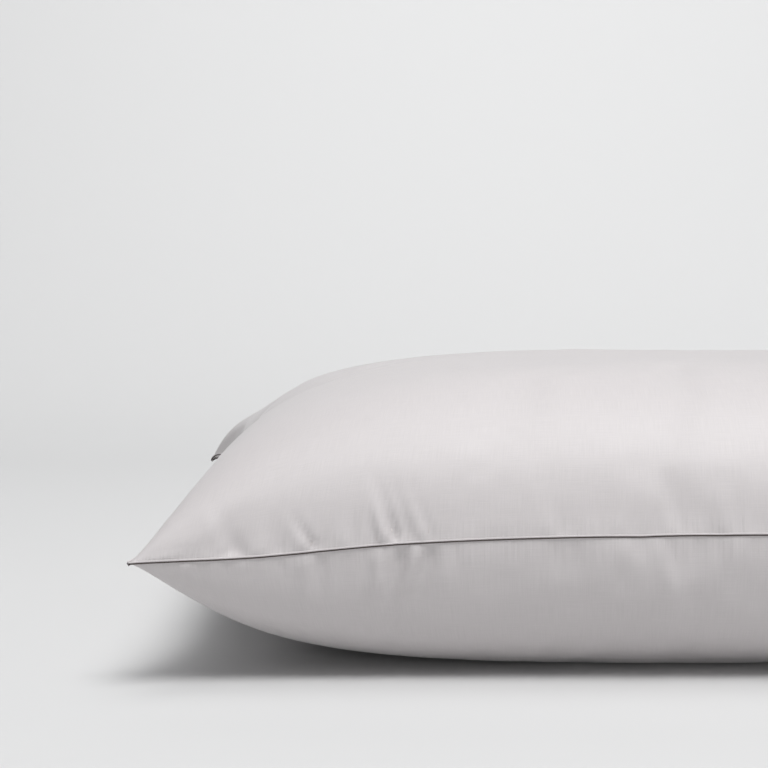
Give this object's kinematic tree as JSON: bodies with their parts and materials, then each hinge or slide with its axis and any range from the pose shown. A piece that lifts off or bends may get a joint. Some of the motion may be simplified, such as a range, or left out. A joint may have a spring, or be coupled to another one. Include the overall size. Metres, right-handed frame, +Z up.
{
  "type": "bed pillow",
  "caption": "Plump rectangular bed pillow: sateen case with tuck-flap mouth over a piped, fibre-filled insert, lying flat.",
  "frame": {"origin": "centre of the bounding box on the plane the pillow lies on", "axes": "+X along the length towards the open mouth of the case, +Y across the width away from the front seam, +Z up through the crown"},
  "size_m": [0.736, 0.4862, 0.179],
  "materials": {
    "sateen": "satin sheen, pale greige sateen",
    "sateen_inside": "matte reverse of the sateen",
    "seam_thread": "dark brown spun thread",
    "hem_thread": "greige spun thread",
    "label_tape": "blank woven tape",
    "ticking": "matte white cotton ticking",
    "cotton_cord": "twisted cotton cord",
    "cotton_thread": "white spun thread",
    "fibre": "matte loose fibre"
  },
  "bodies": {
    "root": {"case_top_panel": "sateen", "case_bottom_panel": "sateen", "front_seam_allowance": "sateen_inside", "back_seam_allowance": "sateen_inside", "end_seam_allowance": "sateen_inside", "front_seam_thread": "seam_thread", "back_seam_thread": "seam_thread", "end_seam_thread": "seam_thread", "mouth_hem_top": "sateen_inside", "mouth_hem_bottom": "sateen_inside", "mouth_hem_thread_top": "hem_thread", "mouth_hem_thread_bottom": "hem_thread", "tuck_flap": "sateen_inside", "flap_hem": "sateen_inside", "flap_hem_thread": "hem_thread", "mouth_bartacks": "hem_thread", "care_label": "label_tape", "ticking_top_panel": "ticking", "ticking_bottom_panel": "ticking", "piping_casing": "ticking", "piping_cord": "cotton_cord", "ticking_seam_thread": "cotton_thread", "closing_stitches": "cotton_thread", "fibre_fill": "fibre", "insert_label": "label_tape"}
  },
  "joints": []
}
